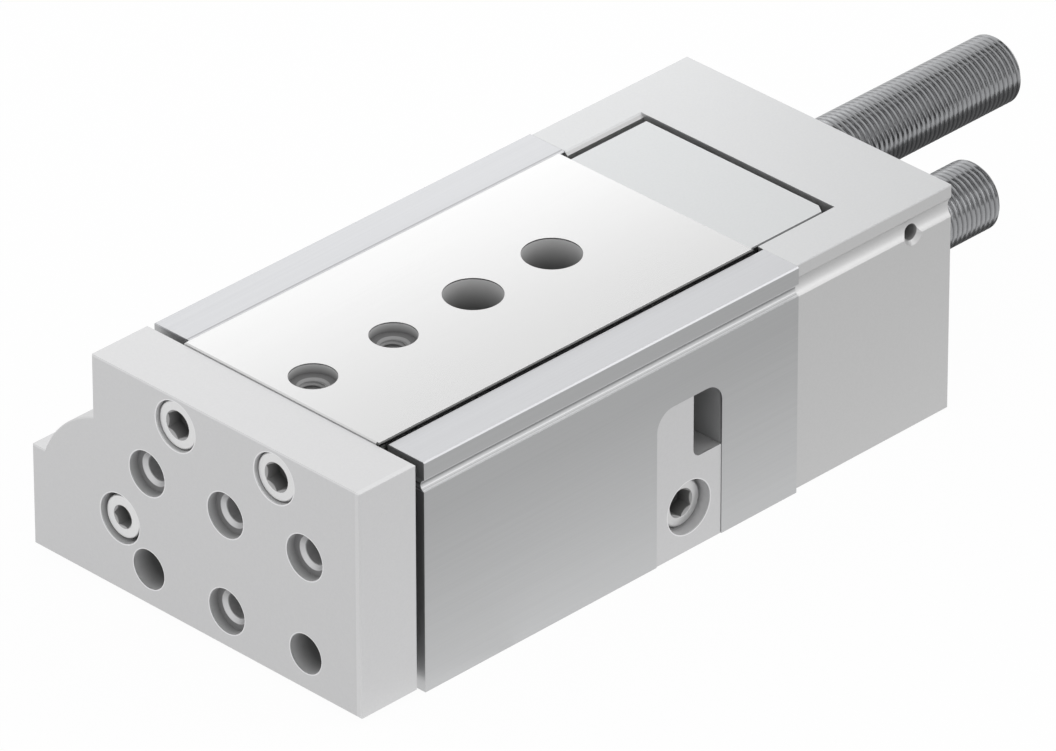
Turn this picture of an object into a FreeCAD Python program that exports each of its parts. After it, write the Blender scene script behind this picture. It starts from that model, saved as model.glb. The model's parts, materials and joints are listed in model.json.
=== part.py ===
import FreeCAD, Part
import math
import os

# A pneumatic mini slide. A flat slide table runs on two rows of balls between the walls of a
# guide housing. A cylinder bored into the housing's side lobe pushes the yoke plate, and the
# yoke carries the table. Two threaded sleeves at the rear set the two end positions.
# Millimetres. +X is the way the table moves out, +Z is up.
# Origin: on the mounting face, halfway between the two mounting holes.

# Driving sizes
stroke = 30.0
hole_grid = 20.0

guide_length = 94.8
guide_half_width = 34.1
guide_height = 47.6
guide_front_x = 56.2
rear_length = 40.9
rear_side_inset = 0.65
rear_foot_gap = 0.35
edge_break = 0.25
over = 1.0  # how far a cutting tool stands out past the faces it opens

# The lobe round the cylinder, in the same outline on the housing and on the yoke
lobe_reach = 50.0
lobe_ledge_z = 22.3
lobe_arc_y = -26.5
lobe_arc_z = 14.2
lobe_arc_r = 21.8

# Slide table
table_length = 94.6
table_half_width = 24.6
table_proud = 0.6
table_thickness = 13.2
table_side_gap = 0.45
table_floor_gap = 0.8
access_hole_r = 5.65

# Yoke plate
yoke_gap = 1.7
yoke_thickness = 14.0
yoke_half_width = 33.9
yoke_bottom_z = 1.4
yoke_proud = 0.2
yoke_row_drop = 18.9
yoke_thread_bevel = 0.8
dowel_r = 3.95
dowel_depth = 11.0

# Threads, centring rings and screws
m6_core_r = 2.5
centring_r = 4.5
centring_depth = 2.1
table_thread_bevel = 0.5
thread_clearance = 0.1
shank_clearance = 0.3
head_clearance = 0.2
yoke_counterbore_r = 5.0
block_head_clearance = 0.7

# Cylinder
cylinder_y = -27.3
cylinder_z = 16.4
bore_r = 12.5
bore_depth = 66.0
rod_r = 5.0
piston_length = 14.0
bearing_length = 14.0
bearing_recess = 2.0
running_clearance = 0.05
end_clearance = 0.2
cushion_thickness = 2.0
cushion_r = 9.4
cushion_bore_r = 5.2
piston_clearance = 0.15
piston_stub_r = 3.0
nut_length = 4.0
nut_width = 9.0
nut_seat_r = 5.3
packing_length = 2.4
packing_depth = 2.0
packing_clearance = 0.05
magnet_length = 3.0
seal_length = 3.2
seal_depth = 3.0
seal_hollow = (1.05, 1.95, 1.6)  # its wall from inside, wall to outside, depth
wiper_length = 2.4
wiper_lip = (2.1, 0.95)  # how wide and how deep its mouth is
oring_section_r = 0.9
oring_groove_half = 1.2
seat_slack = 0.02
circlip_r = 1.0
circlip_thickness = 1.2
circlip_gap = 4.4
circlip_eye_r = 1.9
circlip_eye_hole_r = 0.8
circlip_eye_drop = 2.7
port_core_r = 4.4
port_depth = 8.0
port_passage_r = 1.5
port_z = 7.5
slot_r = 3.2
slot_mouth = 4.6
slot_z = 16.6
slot_cover = 0.9

# Ball guide
ball_r = 2.5
ball_count = 8
ball_pitch = 7.0
ball_clearance = 0.1
race_drop = 6.1
cage_thickness = 0.9
cage_relief = 0.6
cage_half_height = 2.9
cage_gap = 0.3
cage_end = 3.5
rail_depth = 5.0
rail_half_height = 4.5
rail_end_gap = 1.0

# Stop block in the side window
window_width = 16.7
window_top_drop = 2.1
window_corner_r = 4.0
block_inner_y = 9.5
block_recess = 0.15
block_fit = 0.05
block_upright = 9.5
block_foot_gap = 1.0
block_slot_r = 1.8
block_screw_inset = 8.4
block_screw_drop = 0.35
block_thread_end_y = 4.3

# Stop bracket behind the table
bracket_length = 20.4
bracket_left_y = -22.3
bracket_right_y = 23.5
bracket_lug = 7.8
bracket_foot = 2.3
bracket_corner_y = 2.4
bracket_corner_x = 1.5
bracket_rear_gap = 1.45
bracket_right_gap = 0.35
pocket_left_y = -24.3
pocket_bevel = 0.8
pocket_floor_gap = 1.0
pocket_front_gap = 1.0
lug_block_gap = 0.3

# Stop sleeves
sleeve_r = 7.0
sleeve_bore_r = 4.6
sleeve_y = 14.6
sleeve_drop = 8.1
sleeve_bevel = 1.0
sleeve_way = 0.5
sleeve_pitch = 1.25
sleeve_thread_depth = 0.72
sleeve_crest = 0.16
retract_sleeve_out = 64.1
advance_sleeve_out = 26.9
sleeve_key_width = 8.0
sleeve_key_depth = 8.0
buffer_fit = 0.1
buffer_length = 15.0
buffer_bevel = 0.8
sleeve_rest_gap = 0.3
buffer_rest_gap = 0.1

# Side grooves and the small countersunk hole
guide_groove_width = 2.4
guide_groove_depth = 0.9
guide_groove_drop = 4.9
rear_groove_width = 4.1
rear_groove_depth = 1.0
rear_groove_drop = 4.75
cross_hole_r = 1.6
cross_hole_depth = 6.0
cross_hole_mouth_r = 2.4
cross_hole_inset = 10.1
cross_hole_drop = 6.25

# Mounting holes through the floor of the channel
base_hole_r = 3.3
base_well_r = 5.5
base_seat_z = 16.0

# Rear housing screws
wall_screw_y = 28.8
upper_screw_drop = 13.6
lower_screw_z = 8.0
lobe_screw_y = -40.0
clamp_screw_r = 2.45
clamp_screw_length = 12.0
clamp_key_half = 1.25
clamp_key_depth = 3.0
rear_screw_depth = 9.0

# Screw sizes: thread radius, head radius, head height, half the key's width; then shares of them
M6 = (3.0, 4.75, 6.0, 2.5)
M5 = (2.5, 4.25, 5.0, 2.0)
socket_mouth = 1.18
socket_neck = 0.9
socket_floor = 0.45
head_round = 0.09
tip_bevel = 0.25
yoke_head_sink = 0.6
rod_head_sink = 0.7
bracket_head_sink = 0.8
block_head_sink = 2.0
table_screw_y = 12.5
table_screw_drop = 5.9
table_thread_depth = 16.0
bracket_screw_y = 10.0
rod_thread_depth = 15.0
thread_end_gap = 2.0

# Stations worked out from the sizes above
guide_rear_x = guide_front_x - guide_length
rear_end_x = guide_rear_x - rear_length
yoke_rear_x = guide_front_x + yoke_gap
yoke_front_x = yoke_rear_x + yoke_thickness
table_rear_x = yoke_rear_x - table_length
table_top_z = guide_height + table_proud
table_bottom_z = table_top_z - table_thickness
yoke_top_z = guide_height + yoke_proud
yoke_row_z = yoke_top_z - yoke_row_drop
table_screw_z = yoke_top_z - table_screw_drop
race_z = guide_height - race_drop
guide_groove_z = guide_height - guide_groove_drop
rear_groove_z = guide_height - rear_groove_drop
upper_screw_z = guide_height - upper_screw_drop
cross_hole_z = guide_height - cross_hole_drop
cross_hole_x = rear_end_x + cross_hole_inset
sleeve_z = table_bottom_z - sleeve_drop
bracket_bottom_z = sleeve_z - sleeve_r - bracket_foot
pocket_floor_z = bracket_bottom_z - pocket_floor_gap
block_foot_z = sleeve_z - sleeve_r - block_foot_gap
block_screw_z = block_foot_z / 2 - block_screw_drop
channel_half = table_half_width + table_side_gap
channel_floor_z = table_bottom_z - table_floor_gap
window_top_z = channel_floor_z - window_top_drop
bracket_rear_x = table_rear_x - bracket_length
lug_front_x = bracket_rear_x + bracket_lug
pocket_rear_x = bracket_rear_x - bracket_rear_gap
clamp_screw_x = (rear_end_x + pocket_rear_x) / 2
pocket_right_y = bracket_right_y + bracket_right_gap
pocket_front_x = lug_front_x + stroke + pocket_front_gap
rear_half_width = guide_half_width - rear_side_inset
window_rear_x = lug_front_x + stroke + lug_block_gap
window_front_x = window_rear_x + window_width
block_screw_x = window_front_x - block_screw_inset
bore_end_x = guide_front_x - bore_depth
race_y = table_half_width + table_side_gap / 2
block_face_y = guide_half_width - block_recess
block_stop_x = window_front_x - block_upright
piston_rear_x = bore_end_x + end_clearance + cushion_thickness
piston_front_x = piston_rear_x + piston_length
bearing_front_x = guide_front_x - bearing_recess
bearing_rear_x = bearing_front_x - bearing_length
advance_tip_x = block_stop_x - stroke - sleeve_rest_gap
retract_tip_x = bracket_rear_x - sleeve_rest_gap
rear_screw_grip = rear_length - M5[2] - head_clearance
oring_x = (bearing_rear_x + bearing_front_x) / 2
cage_middle_x = (table_rear_x + guide_front_x - rail_end_gap) / 2
bracket_seat_x = bracket_rear_x + M5[2] + bracket_head_sink
block_seat_y = block_face_y - block_head_sink - M6[2]


def vec(x, y, z):
    return FreeCAD.Vector(x, y, z)


def box(x, y, z):
    """A box from three (low, high) pairs."""
    return Part.makeBox(x[1] - x[0], y[1] - y[0], z[1] - z[0], vec(x[0], y[0], z[0]))


def rod_x(r, x, y, z):
    """A round bar along X between the two values in x."""
    return Part.makeCylinder(r, x[1] - x[0], vec(x[0], y, z), vec(1, 0, 0))


def rod_y(r, x, y, z):
    return Part.makeCylinder(r, y[1] - y[0], vec(x, y[0], z), vec(0, 1, 0))


def rod_z(r, x, y, z):
    return Part.makeCylinder(r, z[1] - z[0], vec(x, y, z[0]), vec(0, 0, 1))


def ring_x(outer, inner, x, y, z):
    return rod_x(outer, x, y, z).cut(rod_x(inner, x, y, z))


def hexagon_x(width, x, y, z):
    """A hexagonal bar along X, width across its flats."""
    r = width / math.sqrt(3)
    turns = [math.radians(60 * k) for k in range(7)]
    corners = [vec(x[0], y + r * math.cos(t), z + r * math.sin(t)) for t in turns]
    return Part.Face(Part.makePolygon(corners)).extrude(vec(x[1] - x[0], 0, 0))


def cone_x(r_low, r_high, x, y, z):
    """A cone along X, r_low wide at the low end and r_high wide at the high end."""
    return Part.makeCone(r_low, r_high, x[1] - x[0], vec(x[0], y, z), vec(1, 0, 0))


def fuse(first, *rest):
    return first.multiFuse(list(rest)).removeSplitter()


def cut(shape, *tools):
    """One cut with all the tools, as one solid where only one is left."""
    result = shape.cut(Part.makeCompound(list(tools)))
    return result.Solids[0] if len(result.Solids) == 1 else result


def mirror_y(shape):
    return shape.mirror(vec(0, 0, 0), vec(0, 1, 0))


def bevel(shape, size, wanted):
    """Chamfer the straight edges that lie where wanted(low, high) is true."""
    edges = []
    for edge in shape.Edges:
        b = edge.BoundBox
        if wanted((b.XMin, b.YMin, b.ZMin), (b.XMax, b.YMax, b.ZMax)):
            edges.append(edge)
    return shape.makeChamfer(size, edges)


def near(a, b):
    return abs(a - b) < 1e-4


def write(node, *solids):
    shape = solids[0] if len(solids) == 1 else Part.makeCompound(list(solids))
    shape.exportStep("parts/%s.step" % node)
    print("%-22s %2d solids %9.1f mm3" % (node, len(shape.Solids), shape.Volume))


def lobe_face(left, right, reach, bottom, top, x):
    """The end outline: a block with the rounded cylinder lobe and its flat ledge on the -Y side."""
    wall_z = lobe_arc_z + math.sqrt(lobe_arc_r ** 2 - (left - lobe_arc_y) ** 2)
    ledge_y = lobe_arc_y - math.sqrt(lobe_arc_r ** 2 - (lobe_ledge_z - lobe_arc_z) ** 2)
    lean = math.atan2(wall_z - lobe_arc_z, left - lobe_arc_y) + math.atan2(
        lobe_ledge_z - lobe_arc_z, ledge_y - lobe_arc_y)
    mid = vec(x, lobe_arc_y + lobe_arc_r * math.cos(lean / 2), lobe_arc_z + lobe_arc_r * math.sin(lean / 2))
    arc = Part.Arc(vec(x, left, wall_z), mid, vec(x, ledge_y, lobe_ledge_z)).toShape()
    corners = [(ledge_y, lobe_ledge_z), (-reach, lobe_ledge_z), (-reach, bottom), (right, bottom),
               (right, top), (left, top), (left, wall_z)]
    lines = [Part.makeLine(vec(x, *a), vec(x, *b)) for a, b in zip(corners, corners[1:])]
    return Part.Face(Part.Wire([arc] + lines))


def hexagon_z(half_width, z):
    """A hexagonal bar along Z between the two values in z, with one corner on the +X side."""
    r = 2 * half_width / math.sqrt(3)
    turns = [math.radians(60 * k) for k in range(7)]
    corners = [vec(r * math.cos(t), r * math.sin(t), z[0]) for t in turns]
    return Part.Face(Part.makePolygon(corners)).extrude(vec(0, 0, z[1] - z[0]))


def screw(size, reach, towards, seat, turn=0):
    """A cap screw whose head sits on the point seat and whose shank goes the way towards."""
    thread_r, head_r, head_height, key_half = size
    head = Part.makeCylinder(head_r, head_height)
    rim = [e for e in head.Edges if near(e.BoundBox.ZMin, head_height)]
    head = head.makeFillet(head_round * head_r, rim)
    shank = Part.makeCylinder(thread_r, reach, vec(0, 0, -reach))
    tip = [e for e in shank.Edges if near(e.BoundBox.ZMax, -reach)]
    shank = shank.makeChamfer(tip_bevel * thread_r, tip)
    socket = hexagon_z(key_half, (socket_floor * head_height, head_height + over))
    socket.rotate(vec(0, 0, 0), vec(0, 0, 1), turn)
    neck, mouth = socket_neck * key_half, socket_mouth * key_half
    lead = Part.makeCone(neck, mouth, mouth - neck, vec(0, 0, head_height - (mouth - neck)))
    body = fuse(head, shank).cut(socket).cut(lead)
    body.Placement = FreeCAD.Placement(seat, FreeCAD.Rotation(vec(0, 0, -1), towards))
    return body.Solids[0]


def screw_hole_x(size, head_hole_r, y, z, face_x, seat_x, end_x):
    """Counterbore and clearance hole for a screw along X that enters at face_x."""
    way = 1 if face_x > seat_x else -1
    head = rod_x(head_hole_r, sorted((seat_x, face_x + way * over)), y, z)
    shank = rod_x(size[0] + shank_clearance, sorted((end_x, seat_x)), y, z)
    return head.fuse(shank)


def centred_thread_x(y, z):
    """A centring ring seat with the core hole of an M6 thread behind it, in the yoke's face."""
    seat_x = yoke_front_x - centring_depth
    ring = rod_x(centring_r, (seat_x, yoke_front_x), y, z)
    core = rod_x(m6_core_r, (yoke_rear_x, seat_x), y, z)
    bevelled_x = (seat_x - yoke_thread_bevel, seat_x)
    mouth = cone_x(m6_core_r, m6_core_r + yoke_thread_bevel, bevelled_x, y, z)
    return fuse(ring, core, mouth)


def centred_thread_z(x):
    seat_z = table_top_z - centring_depth
    ring = rod_z(centring_r, x, 0, (seat_z, table_top_z))
    core = rod_z(m6_core_r, x, 0, (table_bottom_z, seat_z))
    mouth = Part.makeCone(m6_core_r, m6_core_r + table_thread_bevel, table_thread_bevel,
                          vec(x, 0, seat_z - table_thread_bevel))
    return fuse(ring, core, mouth)


def side_groove(width, depth, face_y, z, x):
    """A shallow round groove of this width and depth along the +Y face."""
    r = (width ** 2 / 4 + depth ** 2) / (2 * depth)
    return rod_x(r, x, face_y + r - depth, z)


def window_prism(y, gap=0.0):
    """The side window, rounded at its two upper corners and open at the bottom."""
    x = (window_rear_x + gap, window_front_x - gap)
    plate = box(x, y, (-over if gap == 0 else gap, window_top_z - gap))
    corners = [e for e in plate.Edges
               if near(e.BoundBox.ZMin, window_top_z - gap) and near(e.BoundBox.XLength, 0)]
    return plate.makeFillet(window_corner_r - gap, corners)


def base_holes():
    holes = []
    for x in (-hole_grid / 2, hole_grid / 2):
        holes.append(rod_z(base_well_r, x, 0, (base_seat_z, channel_floor_z)))
        holes.append(rod_z(base_hole_r, x, 0, (0, base_seat_z)))
        holes.append(rod_z(centring_r, x, 0, (0, centring_depth)))
    return holes


def sensor_slot():
    """A round-bottomed slot for proximity sensors, open along the lobe's side and at its front end."""
    centre_y = -lobe_reach + slot_cover + slot_r
    x = (guide_rear_x, guide_front_x)
    mouth = box(x, (-lobe_reach, centre_y), (slot_z - slot_mouth / 2, slot_z + slot_mouth / 2))
    return rod_x(slot_r, x, centre_y, slot_z).fuse(mouth)


def port(x):
    thread = rod_y(port_core_r, x, (-lobe_reach, -lobe_reach + port_depth), port_z)
    passage = rod_y(port_passage_r, x, (-lobe_reach + port_depth, cylinder_y), port_z)
    return thread.fuse(passage)


def rear_screw_places():
    return [(wall_screw_y, upper_screw_z), (-wall_screw_y, upper_screw_z),
            (wall_screw_y, lower_screw_z), (lobe_screw_y, lower_screw_z)]


def rail_box(extra=0.0):
    return box((guide_rear_x + rail_end_gap - extra, guide_front_x - rail_end_gap + extra),
               (channel_half - extra, channel_half + rail_depth),
               (race_z - rail_half_height, race_z + rail_half_height))


def ports_x():
    """One port opens just behind the bearing, the other at the cylinder's closed end."""
    return (bearing_rear_x - port_passage_r, bore_end_x + port_passage_r)


def guide_housing():
    face = lobe_face(-guide_half_width, guide_half_width, lobe_reach, 0, guide_height, guide_rear_x)
    body = face.extrude(vec(guide_length, 0, 0))
    body = bevel(body, edge_break, lambda a, b: near(a[2], guide_height) and b[0] - a[0] > over)
    body = cut(body, box((guide_rear_x, guide_front_x), (-channel_half, channel_half),
                         (channel_floor_z, guide_height + over)))
    body = bevel(body, edge_break, lambda a, b: near(a[2], guide_height) and b[0] - a[0] > over
                 and near(abs(a[1]), channel_half))
    rail_seat = rail_box()
    lug_way = box((guide_rear_x, pocket_front_x), (pocket_left_y, channel_half),
                  (pocket_floor_z, channel_floor_z))
    tools = [rail_seat, mirror_y(rail_seat), lug_way, sleeve_channel(),
             window_prism((block_inner_y, guide_half_width + over)),
             rod_x(bore_r, (bore_end_x, guide_front_x), cylinder_y, cylinder_z), circlip_groove(),
             side_groove(guide_groove_width, guide_groove_depth, guide_half_width, guide_groove_z,
                         (guide_rear_x, guide_front_x)),
             sensor_slot(), block_thread()]
    tools += [port(x) for x in ports_x()] + base_holes()
    thread_x = (guide_rear_x, guide_rear_x + rear_screw_depth + thread_end_gap)
    tools += [rod_x(M5[0] + thread_clearance, thread_x, y, z) for y, z in rear_screw_places()]
    return cut(body, *tools)


def sleeve_channel():
    """The round-bottomed way from the lug's pocket to the stop block for the advance sleeve."""
    r = sleeve_r + sleeve_way
    x = (pocket_front_x, block_stop_x)
    below_floor = box(x, (0, guide_half_width), (0, channel_floor_z))
    top = box(x, (sleeve_y - r, sleeve_y + r), (sleeve_z, channel_floor_z))
    return rod_x(r, x, sleeve_y, sleeve_z).common(below_floor).fuse(top)


def block_thread():
    y = (block_thread_end_y, block_inner_y)
    return rod_y(M6[0] + thread_clearance, block_screw_x, y, block_screw_z)


def rear_housing():
    face = lobe_face(-rear_half_width, rear_half_width, lobe_reach - rear_side_inset, rear_foot_gap,
                     guide_height, rear_end_x)
    body = face.extrude(vec(rear_length, 0, 0))
    body = bevel(body, edge_break, lambda a, b: near(b[0], rear_end_x))
    pocket = box((pocket_rear_x, guide_rear_x), (pocket_left_y, pocket_right_y),
                 (pocket_floor_z, guide_height + over))
    body = cut(body, pocket)
    body = bevel(body, pocket_bevel, lambda a, b: near(a[2], guide_height) and near(a[1], pocket_left_y)
                 and near(b[1], pocket_left_y))
    face_y = rear_half_width
    deep = cross_hole_mouth_r - cross_hole_r
    tools = [rod_x(sleeve_r + thread_clearance, (rear_end_x, pocket_rear_x), -sleeve_y, sleeve_z),
             rod_x(sleeve_r + sleeve_way, (rear_end_x, pocket_rear_x), sleeve_y, sleeve_z),
             side_groove(rear_groove_width, rear_groove_depth, face_y, rear_groove_z,
                         (rear_end_x, guide_rear_x)),
             rod_y(cross_hole_r, cross_hole_x, (face_y - cross_hole_depth, face_y), cross_hole_z),
             Part.makeCone(cross_hole_r, cross_hole_mouth_r, deep,
                           vec(cross_hole_x, face_y - deep, cross_hole_z), vec(0, 1, 0)),
             rod_z(clamp_screw_r + thread_clearance, clamp_screw_x, -sleeve_y, (rear_foot_gap, sleeve_z))]
    seat_x = guide_rear_x - rear_screw_grip
    for y, z in rear_screw_places():
        tools.append(screw_hole_x(M5, M5[1] + head_clearance, y, z, rear_end_x, seat_x, guide_rear_x))
    return cut(body, *tools)


def guide_rail():
    """One hardened rail in the +Y wall, with the ball groove and the shallow way of the cage."""
    relief = cage_half_height + cage_gap
    ends = (guide_rear_x, guide_front_x)
    race = rod_x(ball_r + ball_clearance, ends, race_y, race_z)
    way = box(ends, (channel_half, channel_half + cage_relief), (race_z - relief, race_z + relief))
    return cut(rail_box(), race, way)


def slide_table():
    ends = (table_rear_x, yoke_rear_x)
    body = box(ends, (-table_half_width, table_half_width), (table_bottom_z, table_top_z))
    body = bevel(body, edge_break, lambda a, b: near(a[2], table_top_z))
    relief = cage_half_height + cage_gap
    race = rod_x(ball_r + ball_clearance, ends, race_y, race_z)
    way = box(ends, (table_half_width - cage_relief, table_half_width), (race_z - relief, race_z + relief))
    tools = [race, way, mirror_y(race), mirror_y(way)]
    for k in (1, -1):
        tools.append(rod_z(access_hole_r, k * hole_grid / 2, 0, (table_bottom_z, table_top_z)))
        tools.append(rod_x(M6[0] + thread_clearance, (yoke_rear_x - table_thread_depth, yoke_rear_x),
                           k * table_screw_y, table_screw_z))
        tools.append(rod_x(M5[0] + thread_clearance, (table_rear_x, table_rear_x + table_thread_depth),
                           k * bracket_screw_y, race_z))
        tools.append(centred_thread_z((2 + k / 2) * hole_grid))
    return cut(body, *tools)


def yoke_plate():
    face = lobe_face(-yoke_half_width, yoke_half_width, lobe_reach, yoke_bottom_z, yoke_top_z, yoke_rear_x)
    body = face.extrude(vec(yoke_thickness, 0, 0))
    body = bevel(body, edge_break, lambda a, b: near(a[0], yoke_front_x) or near(b[0], yoke_rear_x))
    tools = []
    for y, z, size, sink in yoke_screw_places():
        seat_x = yoke_front_x - sink - size[2]
        tools.append(screw_hole_x(size, yoke_counterbore_r, y, z, yoke_front_x, seat_x, yoke_rear_x))
    lower_row_z = yoke_row_z - hole_grid
    for y in (-hole_grid, 0, hole_grid):
        tools.append(centred_thread_x(y, yoke_row_z))
    tools.append(centred_thread_x(0, lower_row_z))
    for y in (-hole_grid, hole_grid):
        tools.append(rod_x(dowel_r, (yoke_front_x - dowel_depth, yoke_front_x), y, lower_row_z))
    return cut(body, *tools)


def yoke_screw_places():
    """Two screws into the table, then the one into the piston rod: y, z, size and how deep the head sits."""
    return [(-table_screw_y, table_screw_z, M6, yoke_head_sink),
            (table_screw_y, table_screw_z, M6, yoke_head_sink),
            (cylinder_y, cylinder_z, M5, rod_head_sink)]


def yoke_screw(y, z, size, sink, depth, turn=0):
    seat_x = yoke_front_x - sink - size[2]
    return screw(size, seat_x - yoke_rear_x + depth, vec(-1, 0, 0), vec(seat_x, y, z), turn)


def stop_block():
    """An L-shaped stop: a foot held by one screw, and an upright that takes the advance buffer."""
    body = window_prism((block_inner_y, block_face_y), block_fit)
    slot = box((window_rear_x - over, block_stop_x), (block_inner_y - over, guide_half_width + over),
               (block_foot_z, window_top_z + over))
    corner = [e for e in slot.Edges
              if near(e.BoundBox.XMin, block_stop_x) and near(e.BoundBox.ZMax, block_foot_z)]
    slot = slot.makeFillet(block_slot_r, corner)
    head_y = (block_seat_y, guide_half_width)
    head = rod_y(M6[1] + block_head_clearance, block_screw_x, head_y, block_screw_z)
    shank = rod_y(M6[0] + shank_clearance, block_screw_x, (block_inner_y, block_seat_y), block_screw_z)
    return cut(body, slot, head, shank)


def stop_block_screw():
    reach = block_seat_y - block_thread_end_y - thread_clearance
    return screw(M6, reach, vec(0, -1, 0), vec(block_screw_x, block_seat_y, block_screw_z), 30)


def stop_bracket():
    """The cover behind the table, with the lug that carries the advance sleeve."""
    y = (bracket_left_y, bracket_right_y)
    cover = box((bracket_rear_x, table_rear_x), y, (table_bottom_z, guide_height))
    lug = box((bracket_rear_x, lug_front_x), y, (bracket_bottom_z, table_bottom_z))
    body = bevel(fuse(cover, lug), edge_break, lambda a, b: near(a[2], guide_height))
    profile = [vec(bracket_rear_x, bracket_right_y - bracket_corner_y, 0),
               vec(bracket_rear_x + bracket_corner_x, bracket_right_y, 0),
               vec(bracket_rear_x, bracket_right_y, 0)]
    corner = Part.Face(Part.makePolygon(profile + profile[:1])).extrude(vec(0, 0, guide_height))
    thread = rod_x(sleeve_r + thread_clearance, (bracket_rear_x, lug_front_x), sleeve_y, sleeve_z)
    tools = [corner, thread]
    for y in (-bracket_screw_y, bracket_screw_y):
        tools.append(screw_hole_x(M5, M5[1] + head_clearance, y, race_z, bracket_rear_x, bracket_seat_x,
                                  table_rear_x))
    return cut(body, *tools)


def bracket_screw(y):
    reach = table_rear_x - bracket_seat_x + table_thread_depth - thread_end_gap
    return screw(M5, reach, vec(1, 0, 0), vec(bracket_seat_x, y, race_z))


def rear_screw(y, z):
    seat_x = guide_rear_x - rear_screw_grip
    return screw(M5, rear_screw_grip + rear_screw_depth, vec(1, 0, 0), vec(seat_x, y, z))


def clamp_screw():
    """A headless screw from below that holds the retract sleeve's setting."""
    top = sleeve_z - sleeve_r - thread_clearance
    body = rod_z(clamp_screw_r, clamp_screw_x, -sleeve_y, (top - clamp_screw_length, top))
    key = hexagon_z(clamp_key_half, (0, clamp_key_depth))
    key.translate(vec(clamp_screw_x, -sleeve_y, top - clamp_screw_length))
    return body.cut(key).Solids[0]


def threaded_bar(x, y, z):
    """A bar along X with bevelled ends and one ring-shaped ridge for each turn of its thread."""
    count = int((x[1] - x[0] - 2 * sleeve_bevel) / sleeve_pitch)
    first_x = (x[0] + x[1] - count * sleeve_pitch) / 2
    outline = [(x[0], 0), (x[0], sleeve_r - sleeve_bevel), (x[0] + sleeve_bevel, sleeve_r)]
    for k in range(count):
        start = first_x + k * sleeve_pitch
        outline += [(start + sleeve_crest / 2, sleeve_r),
                    (start + sleeve_pitch / 2, sleeve_r - sleeve_thread_depth),
                    (start + sleeve_pitch - sleeve_crest / 2, sleeve_r)]
    outline += [(x[1] - sleeve_bevel, sleeve_r), (x[1], sleeve_r - sleeve_bevel), (x[1], 0), (x[0], 0)]
    face = Part.Face(Part.makePolygon([vec(a, y, z + r) for a, r in outline]))
    return face.revolve(vec(0, y, z), vec(1, 0, 0), 360)


def stop_sleeve(tip_x, end_x, y):
    """A threaded tube with bevelled ends, a buffer bore at the tip and a hexagon key at the rear."""
    body = threaded_bar((end_x, tip_x), y, sleeve_z)
    floor_x = tip_x + sleeve_rest_gap - buffer_rest_gap - buffer_length
    bore = rod_x(sleeve_bore_r, (floor_x, tip_x), y, sleeve_z)
    return cut(body, bore, hexagon_x(sleeve_key_width, (end_x, end_x + sleeve_key_depth), y, sleeve_z))


def stop_buffer(tip_x, y):
    """The elastomer plug that stands just proud of the sleeve's tip."""
    face_x = tip_x + sleeve_rest_gap - buffer_rest_gap
    body = rod_x(sleeve_bore_r - buffer_fit, (face_x - buffer_length, face_x), y, sleeve_z)
    return body.makeChamfer(buffer_bevel, [e for e in body.Edges if near(e.BoundBox.XMin, face_x)])


def circlip_groove():
    x = (bearing_front_x, bearing_front_x + circlip_thickness)
    return rod_x(bore_r + circlip_r, x, cylinder_y, cylinder_z)


def circlip():
    """An inner retaining ring with a gap and two eyes."""
    x = (bearing_front_x, bearing_front_x + circlip_thickness)
    ring = ring_x(bore_r + circlip_r - seat_slack, bore_r - 2 * circlip_r, x, cylinder_y, cylinder_z)
    half = circlip_gap / 2
    gap = box((x[0] - over, x[1] + over), (cylinder_y - half, cylinder_y + half),
              (cylinder_z, cylinder_z + 2 * bore_r))
    eyes = []
    for k in (-1, 1):
        place = (cylinder_y + k * (half + circlip_r), cylinder_z + bore_r - circlip_eye_drop)
        eyes.append(rod_x(circlip_eye_r, x, *place).cut(rod_x(circlip_eye_hole_r, x, *place)))
    return fuse(ring.cut(gap), *eyes).Solids[0]


def rod_bearing():
    """The gland: a flanged bush with seats for the rod seal, the wiper and the outer ring seal."""
    body = ring_x(bore_r - seat_slack, rod_r + running_clearance, (bearing_rear_x, bearing_front_x),
                  cylinder_y, cylinder_z)
    seat_r = rod_r + seal_depth
    seal = rod_x(seat_r, (bearing_rear_x, bearing_rear_x + seal_length), cylinder_y, cylinder_z)
    wiper = rod_x(seat_r, (bearing_front_x - wiper_length, bearing_front_x), cylinder_y, cylinder_z)
    groove = ring_x(bore_r, bore_r - 2 * oring_section_r,
                    (oring_x - oring_groove_half, oring_x + oring_groove_half), cylinder_y, cylinder_z)
    return cut(body, seal, wiper, groove)


def rod_seal():
    """A lip seal with a hollow on its pressure side."""
    x = (bearing_rear_x, bearing_rear_x + seal_length)
    body = ring_x(rod_r + seal_depth - seat_slack, rod_r + running_clearance / 2, x, cylinder_y, cylinder_z)
    low, high, deep = seal_hollow
    hollow = ring_x(rod_r + high, rod_r + low, (x[0], x[0] + deep), cylinder_y, cylinder_z)
    return cut(body, hollow)


def rod_wiper():
    x = (bearing_front_x - wiper_length, bearing_front_x)
    body = ring_x(rod_r + seal_depth - seat_slack, rod_r + running_clearance / 2, x, cylinder_y, cylinder_z)
    wide, deep = wiper_lip
    lip = cone_x(rod_r, rod_r + wide, (x[1] - deep, x[1]), cylinder_y, cylinder_z)
    return cut(body, lip)


def gland_oring():
    r = bore_r - oring_section_r - seat_slack
    return Part.makeTorus(r, oring_section_r - seat_slack, vec(oring_x, cylinder_y, cylinder_z), vec(1, 0, 0))


def piston_stations():
    """Low and high ends along X of the grooves: rear packing, guide ring, magnet, front packing."""
    step = piston_length / 4
    marks = [piston_rear_x + step * (k + 0.5) for k in range(4)]
    lengths = (packing_length, packing_length, magnet_length, packing_length)
    return [(m - w / 2, m + w / 2) for m, w in zip(marks, lengths)]


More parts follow.
